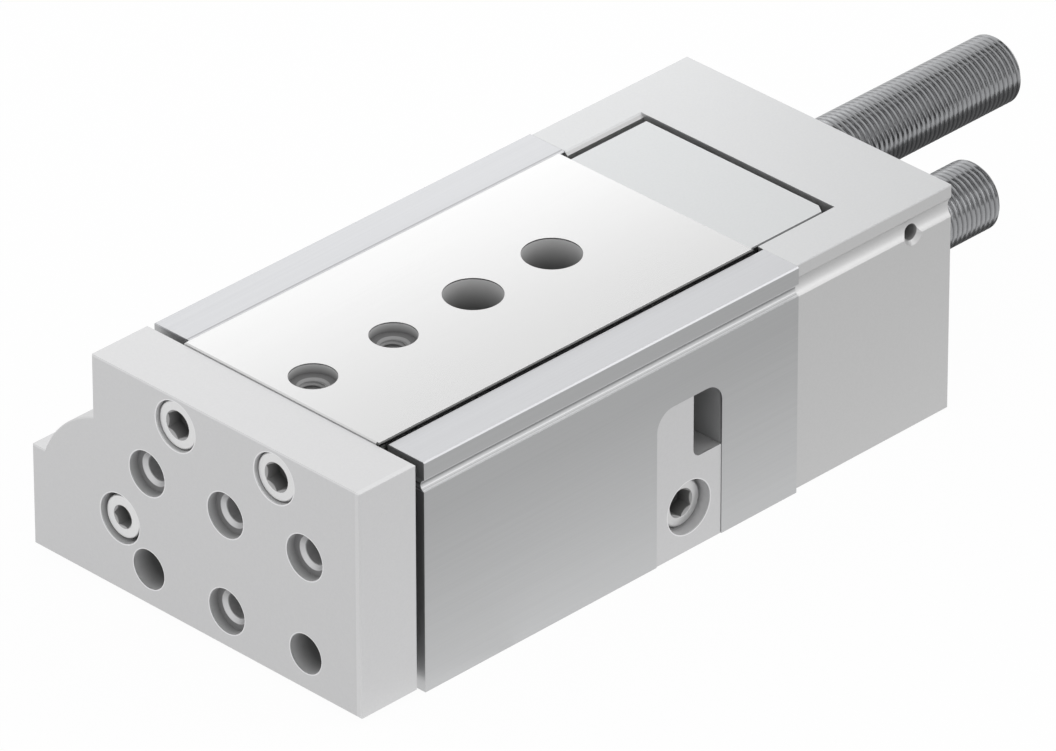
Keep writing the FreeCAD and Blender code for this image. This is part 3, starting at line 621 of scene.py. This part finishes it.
# %% [markdown]
# ### Rubber and plastic
# Seals, cushions, cages and the magnet sit deep inside. A plain finish is enough for them.

# %% Rubber and plastic finishes
plain("seal_rubber", (0.05, 0.05, 0.05), 0.6)
plain("cushion_rubber", (0.08, 0.08, 0.09), 0.7)
plain("magnet", (0.12, 0.11, 0.11), 0.5)
plain("white_plastic", (0.85, 0.84, 0.80), 0.45)
slot_of = {row["node"]: row["material_slot"] for row in frame["record"]["subparts"]}
bodies = frame["record"]["behaviour"]["bodies"]
body_of = {node: body for body, nodes in bodies.items() for node in nodes}
print("finishes:", len(finishes), "for", len(slot_of), "nodes")

# %% [markdown]
# ## Smooth round faces
# A solid model reaches Blender as loose triangles. Joined at their corners, a round face can be
# shaded smooth while every edge over thirty degrees stays sharp. The solid's own mesh is left
# alone: a copy of it is joined, and the copy stands for it.

# %% Joined copies of the solids
EDGE_ANGLE = math.radians(30)
FLAT_ANGLE = math.radians(0.5)
JOIN = 0.0005 * MM


def show(piece, node):
    """The piece stands for a node of the solid model and moves with its body."""
    bpy.context.scene.collection.objects.link(piece)
    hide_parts(node)
    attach(piece, body_of[node])
    piece.data.materials.clear()
    piece.data.materials.append(finishes[slot_of[node]])
    return piece


def joined(node):
    """A copy of a node with its triangles joined, smooth but for edges over EDGE_ANGLE."""
    work = bmesh.new()
    work.from_mesh(frame["nodes"][node].data)
    bmesh.ops.remove_doubles(work, verts=work.verts, dist=JOIN)
    bmesh.ops.dissolve_degenerate(work, edges=work.edges, dist=JOIN)
    bmesh.ops.dissolve_limit(work, angle_limit=FLAT_ANGLE, verts=work.verts, edges=work.edges)
    mesh = bpy.data.meshes.new(node + "_finished")
    work.to_mesh(mesh)
    work.free()
    if "custom_normal" in mesh.attributes:
        mesh.attributes.remove(mesh.attributes["custom_normal"])
    mesh.shade_smooth()
    mesh.set_sharp_from_angle(angle=EDGE_ANGLE)
    return bpy.data.objects.new(node + "_finished", mesh)


threaded = ("retract_sleeve", "advance_sleeve")
finished = {node: show(joined(node), node) for node in sorted(frame["nodes"]) if node not in threaded}
print("joined copies:", len(finished))

# %% [markdown]
# ### Edges that catch the light
# No machined edge is perfectly sharp. A Bevel modifier rounds each one by a few hundredths of a
# millimetre, and that narrow round shows as the light line round every hole and along every edge.
# Hardened normals keep the flat faces flat right up to it. The table's ground edges stay sharp.

# %% Rounded edges
EDGE_ROUND = 0.06 * MM
SHARP_EDGE = math.radians(50)
outer = ("guide_housing", "rear_housing", "yoke_plate", "stop_block")
for node in outer:
    rounding = finished[node].modifiers.new("rounding", "BEVEL")
    rounding.width = EDGE_ROUND
    rounding.segments = 2
    rounding.limit_method = "ANGLE"
    rounding.angle_limit = SHARP_EDGE
    rounding.harden_normals = True
    rounding.use_clamp_overlap = False
print("rounded edges on:", ", ".join(outer))

# %% [markdown]
# ## Surfaces from two parameters
# A turned piece is a profile carried round an axis. If the profile's radius also depends on the
# angle, the same grid gives a screw thread or a hexagon socket. Rows run along the profile and
# columns run round the axis. The last column joins the first, and each open end closes in a
# single point on the axis.

# %% Helpers for turned pieces
def whole_turn(columns):
    """Angles round an axis, one for each column, from 0 up to a full turn."""
    return np.linspace(0, 2 * math.pi, columns, endpoint=False)[None, :]


def grid_faces(rows, columns, closed=False):
    """Quads between the points of a grid whose last column joins the first.

    When closed, the last row joins the first row too.
    """
    row, column = np.meshgrid(np.arange(rows if closed else rows - 1), np.arange(columns), indexing="ij")
    next_row, next_column = (row + 1) % rows, (column + 1) % columns
    quads = np.stack([row * columns + column, row * columns + next_column,
                      next_row * columns + next_column, next_row * columns + column], -1)
    return quads.reshape(-1, 4)


def turned(name, x, radius, angle, y, z):
    """A closed skin round an axis along X.

    x and radius are grids with one row for each step along the profile and one column for each
    angle. A point is (x, y + radius * cos angle, z + radius * sin angle). The two poles lie on
    the axis at the first and last rows' mean x, and a fan of triangles closes each end.
    """
    rows, columns = x.shape
    points = np.stack([x, y + radius * np.cos(angle), z + radius * np.sin(angle)], -1)
    poles = np.array([[x[0].mean(), y, z], [x[-1].mean(), y, z]])
    points = np.vstack([points.reshape(-1, 3), poles])
    quads = grid_faces(rows, columns)
    ring = np.arange(columns)
    following = (ring + 1) % columns
    first_pole, last_pole = np.full(columns, rows * columns), np.full(columns, rows * columns + 1)
    last_row = (rows - 1) * columns
    first = np.stack([first_pole, following, ring], -1)
    last = np.stack([last_pole, last_row + ring, last_row + following], -1)
    corners = np.concatenate([quads.ravel(), first.ravel(), last.ravel()])
    sizes = np.concatenate([np.full(len(quads), 4), np.full(2 * columns, 3)])
    mesh = bpy.data.meshes.new(name)
    mesh.vertices.add(len(points))
    mesh.vertices.foreach_set("co", points.astype(np.float32).ravel())
    mesh.loops.add(len(corners))
    mesh.loops.foreach_set("vertex_index", corners.astype(np.int32))
    mesh.polygons.add(len(sizes))
    mesh.polygons.foreach_set("loop_start", (np.cumsum(sizes) - sizes).astype(np.int32))
    mesh.update(calc_edges=True)
    mesh.validate()
    mesh.shade_smooth()
    mesh.set_sharp_from_angle(angle=EDGE_ANGLE)
    return bpy.data.objects.new(name, mesh)


print("turned pieces ready")

# %% [markdown]
# ### The profile of a thread
# Cut lengthwise, a thread shows a row of ridges, one for each pitch: a flat root, a straight flank
# up to a flat crest and another one down. One formula gives its height for any place along the
# axis, so no ridge is drawn by hand. The volume is measured too, because a skin that is inside
# out would show as a negative number.

# %% Thread profile and volume
def ridge(phase, flat_crest=0.125, flat_root=0.25):
    """The height of a thread from 0 at its root to 1 at its crest, with straight flanks."""
    away = np.abs(2 * (phase % 1.0) - 1)
    return np.clip((away - flat_root) / (1 - flat_crest - flat_root), 0, 1)


def volume(piece):
    """The volume inside a closed mesh, in cubic millimetres. It is positive when faces point out."""
    work = bmesh.new()
    work.from_mesh(piece.data)
    inside = work.calc_volume(signed=True)
    work.free()
    return inside / MM ** 3


print("half way up a flank the height is", round(float(ridge(0.78125)), 3))

# %% [markdown]
# ## The threaded stop sleeves
# Each sleeve is a steel tube with a fine thread from end to end, a hexagon socket at the rear and
# a bore for its rubber plug at the tip. The thread is one ridge that climbs by its pitch on each
# turn, so its height depends on x / pitch - angle / full turn. At both ends a bevel cuts the ridge
# off: the sleeve's radius is the smaller one of the thread's and the bevel's.

# %% Threaded sleeves
STEPS_PER_PITCH = 12
CREST, ROOT = 0.5, 0.1
SLEEVE_COLUMNS = 96
THREAD_DEPTH = 0.24 * MM
SLEEVE_BEVEL = 1.0 * MM
KEY_HALF_WIDTH = 4.0 * MM
KEY_DEPTH = 8.0 * MM
PLUG_RADIUS = 4.6 * MM
PLUG_DEPTH = 14.8 * MM


def hexagon(angle, half_width):
    """The radius of a hexagon with corners at 0, 60, 120 degrees: half its width over a cosine."""
    return half_width / np.cos(angle % math.radians(60) - math.radians(30))


def sleeve(node, rear, tip, y):
    """The sleeve's skin as one profile: key floor, key wall, rear face, thread, tip face, bore."""
    angle = whole_turn(SLEEVE_COLUMNS)
    steps = int(round((tip - rear) / SLEEVE_PITCH * STEPS_PER_PITCH)) + 1
    station = np.linspace(rear, tip, steps)[:, None]
    height = ridge(station / SLEEVE_PITCH - angle / (2 * math.pi), CREST, ROOT)
    thread = SLEEVE_RADIUS - THREAD_DEPTH * (1 - height)
    cone = SLEEVE_RADIUS - SLEEVE_BEVEL + np.minimum(station - rear, tip - station)
    outside = np.minimum(thread, cone)
    key = hexagon(angle, KEY_HALF_WIDTH)
    flat = np.ones_like(angle)
    x = np.vstack([(rear + KEY_DEPTH) * flat, (rear + KEY_DEPTH) * flat, rear * flat,
                   station * flat, tip * flat, (tip - PLUG_DEPTH) * flat, (tip - PLUG_DEPTH) * flat])
    radius = np.vstack([0.5 * key, key, key, outside,
                        PLUG_RADIUS * flat, PLUG_RADIUS * flat, 0.5 * PLUG_RADIUS * flat])
    piece = turned(node + "_threaded", x, radius, angle, y, SLEEVE_HEIGHT)
    return show(piece, node)


retract = sleeve("retract_sleeve", *RETRACT_SLEEVE, -SLEEVE_SIDE)
advance = sleeve("advance_sleeve", *ADVANCE_SLEEVE, SLEEVE_SIDE)
print("sleeve volumes, mm3:", round(volume(retract)), round(volume(advance)))
print("sleeve faces:", len(retract.data.polygons), len(advance.data.polygons))

# %% [markdown]
# ## Threads in the holes
# Light catches the turns of the thread inside each stepped hole. A thin tube lines the hole: its
# inner side carries the ridge and its outer side is hidden in the metal round it. The tube starts
# behind the thread's bevel and ends before the hole does.

# %% One lining, and several in one piece
LINING_COLUMNS = 48
HOLE_THREAD_DEPTH = 0.32 * MM
LINING_OVERLAP = 0.06 * MM


def lining(start, axis, length):
    """A tube whose inner radius swings with the thread. It begins at start and runs along axis."""
    angle = whole_turn(LINING_COLUMNS)
    steps = int(round(length / SCREW_PITCH * STEPS_PER_PITCH)) + 1
    station = np.linspace(0, length, steps)[:, None]
    height = ridge(station / SCREW_PITCH - angle / (2 * math.pi))
    inner = SCREW_THREAD_RADIUS - HOLE_THREAD_DEPTH * height
    outer = (SCREW_THREAD_RADIUS + LINING_OVERLAP) * np.ones_like(inner)
    flat = np.ones_like(angle)
    x = np.vstack([station[::-1] * flat, station * flat])
    radius = np.vstack([inner[::-1], outer])
    points = np.stack([x, radius * np.cos(angle), radius * np.sin(angle)], -1).reshape(-1, 3)
    turn = Vector((1, 0, 0)).rotation_difference(Vector(axis)).to_matrix()
    return points @ np.array(turn).T + np.array(start), grid_faces(len(x), LINING_COLUMNS, closed=True)


def linings(name, starts, axis, length, body, slot):
    """Several linings in one piece. Each has as many points, so face numbers rise by that many."""
    made = [lining(start, axis, length) for start in starts]
    points = np.vstack([tube for tube, faces in made])
    quads = np.vstack([faces + number * len(tube) for number, (tube, faces) in enumerate(made)])
    mesh = bpy.data.meshes.new(name)
    mesh.from_pydata(points.tolist(), [], quads.tolist())
    mesh.shade_smooth()
    mesh.materials.append(finishes[slot])
    piece = bpy.data.objects.new(name, mesh)
    bpy.context.scene.collection.objects.link(piece)
    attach(piece, body)
    return piece


print("linings", round((SCREW_THREAD_RADIUS - HOLE_THREAD_DEPTH) / MM, 2), "mm in radius at their ridge")

# %% [markdown]
# Four of the stepped holes are in the yoke and two in the table. Both pieces move with the
# carriage, and so do their linings.

# %% Linings of the yoke and the table
YOKE_LINING_SINK = 4.0 * MM
YOKE_LINING_LENGTH = 7.1 * MM
TABLE_LINING_LENGTH = 10.2 * MM
yoke_x = YOKE_FRONT - SEAT_DEPTH - YOKE_LINING_SINK
yoke_starts = [(yoke_x, y, z) for y, z in yoke_seats]
yoke_threads = linings("yoke_hole_threads", yoke_starts, (-1, 0, 0), YOKE_LINING_LENGTH,
                       "carriage", "yoke_plate")
table_z = TABLE_TOP - SEAT_DEPTH - TABLE_THREAD_BEVEL
table_starts = [(x, 0, table_z) for x in SEAT_PLACES]
table_threads = linings("table_hole_threads", table_starts, (0, 0, -1), TABLE_LINING_LENGTH,
                        "carriage", "slide_table")
print("lining volumes, mm3:", round(volume(yoke_threads)), round(volume(table_threads)))

# %% [markdown]
# ## Floor, sky and lamps
# The photograph has a pure white background and no shadow to speak of. The floor is pale and
# keeps a faint shadow, because only rays from the camera see most of it as white. In mirrors the
# floor fades with its distance, so the side faces grow lighter toward their foot.

# %% Floor
SEEN_WHITE = 0.96
MIRRORED_WHITE = 0.9
NEAR_FLOOR = 0.92
FAR_FLOOR = 0.78
NEAR, FAR = 36 * MM, 95 * MM
PALE = (0.85, 0.85, 0.86, 1)
FLOOR_REACH = 4
FLOOR_DROP = 0.02 * MM
floor_corners = [(x * FLOOR_REACH, y * FLOOR_REACH, 0) for x, y in ((-1, -1), (1, -1), (1, 1), (-1, 1))]
floor_mesh = bpy.data.meshes.new("floor")
floor_mesh.from_pydata(floor_corners, [], [(0, 1, 2, 3)])
floor = bpy.data.objects.new("floor", floor_mesh)
floor.location.z = -FLOOR_DROP
bpy.context.scene.collection.objects.link(floor)
floor_finish = bpy.data.materials.new("floor")
floor_finish.use_nodes = True
tree = floor_finish.node_tree
tree.nodes.remove(tree.nodes["Principled BSDF"])
start = Wire(tree)
camera_ray = start.node("LightPath")
mirror_ray = start.node("LightPath", out="Is Glossy Ray")
glass_ray = start.node("LightPath", out="Is Transmission Ray")
seen = camera_ray * SEEN_WHITE + (mirror_ray + glass_ray) * MIRRORED_WHITE
pale = start.node("BsdfDiffuse", {}, {"Color": PALE})
in_mirrors = NEAR_FLOOR - (NEAR_FLOOR - FAR_FLOOR) * along(tree, Y).clamped(NEAR, FAR)
brightness = camera_ray + (1 - camera_ray) * in_mirrors
white = start.node("Emission", {}, {"Color": brightness.blend((0, 0, 0), (1, 1, 1)), "Strength": 1.0})
floor_look = start.node("MixShader", {}, {0: seen, 1: pale, 2: white})
start.plug(tree.nodes["Material Output"].inputs["Surface"], floor_look)
floor_mesh.materials.append(floor_finish)
print("floor at z", floor.location.z / MM, "mm")

# %% [markdown]
# The sky is white for the camera and for mirrors, and a little dimmer as a source of light, so
# faces turned up stay below pure white and their edges can still be told apart.

# %% Sky
SKY_LIGHT = 0.95
world = bpy.data.worlds.new("sky")
world.use_nodes = True
bpy.context.scene.world = world
tree = world.node_tree
start = Wire(tree)
from_camera = start.node("LightPath")
from_mirror = start.node("LightPath", out="Is Glossy Ray")
from_glass = start.node("LightPath", out="Is Transmission Ray")
direct = start.node("Math", {"operation": "MAXIMUM"}, {0: from_camera, 1: from_mirror})
direct = start.node("Math", {"operation": "MAXIMUM"}, {0: direct, 1: from_glass})
start.plug(tree.nodes["Background"].inputs["Color"], (1, 1, 1, 1))
start.plug(tree.nodes["Background"].inputs["Strength"], SKY_LIGHT + direct * (1 - SKY_LIGHT))
print("sky at", SKY_LIGHT, "of white as a light")

# %% [markdown]
# A strip of light near the left side makes the top faces fade from left to right, and a lamp at
# the back draws the light lines on the edges. Both are broad, because a small lamp would leave a
# hard spot on the ground steel.

# %% Lamps
def lamp(name, stand, aim, width, depth, power):
    """A rectangular lamp, width along X where it can be, that looks from its stand to aim."""
    data = bpy.data.lights.new(name, "AREA")
    data.shape = "RECTANGLE"
    data.size = width
    data.size_y = depth
    data.energy = power
    light = bpy.data.objects.new(name, data)
    away = (Vector(stand) - Vector(aim)).normalized()
    side = (Vector((1, 0, 0)) - away.x * away).normalized()
    light.matrix_world = Matrix((side, away.cross(side), away)).transposed().to_4x4()
    light.location = stand
    light.visible_camera = False
    bpy.context.scene.collection.objects.link(light)
    return light


lamp("left_strip", (-0.11, -0.18, 0.155), (0.02, -0.02, 0.048), width=0.24, depth=0.06, power=0.033)
lamp("edge_lamp", (-0.58, 0.62, 0.45), (0, 0, 0.03), width=0.3, depth=0.5, power=0.8)
print("lamps:", len(bpy.data.lights))

# %% [markdown]
# Round dark steel looks like steel because it mirrors something dark next to something bright.
# Cards give it that, as in a photographer's studio: a grey one bends round the right side of the
# sleeves, a black one hangs far behind them and a dark one lies below. Only mirrors meet them.

# %% Cards
def card(name, rows, tone):
    """A dark sheet between points: each row is a line of points and joins the row before it."""
    columns = len(rows[0])
    corners = [row * columns + column for row in range(len(rows) - 1) for column in range(columns - 1)]
    faces = [(corner, corner + 1, corner + columns + 1, corner + columns) for corner in corners]
    mesh = bpy.data.meshes.new(name)
    mesh.from_pydata([point for row in rows for point in row], [], faces)
    mesh.materials.append(plain(name, (tone, tone, tone), 0.9))
    piece = bpy.data.objects.new(name, mesh)
    piece.visible_camera = False
    piece.visible_diffuse = False
    piece.visible_shadow = False
    bpy.context.scene.collection.objects.link(piece)
    return piece


BEND_RADIUS = 0.1
bend_angles = [math.radians(degrees) for degrees in range(0, 100, 15)]
bend = [(BEND_RADIUS * math.cos(angle) - SLEEVE_SIDE, BEND_RADIUS * math.sin(angle) + SLEEVE_HEIGHT)
        for angle in bend_angles]
card("side_card", [[(x, y, z) for y, z in bend] for x in (-0.27, -0.14)], tone=0.22)
card("high_card", [[(x, -0.357, 0.747), (x, -0.091, 0.821)] for x in (-0.50, -0.95)], tone=0.01)
card("floor_card", [[(x, -0.06, 0.0), (x, 0.03, 0.0)] for x in (-0.20, -0.085)], tone=0.18)
print("three cards")
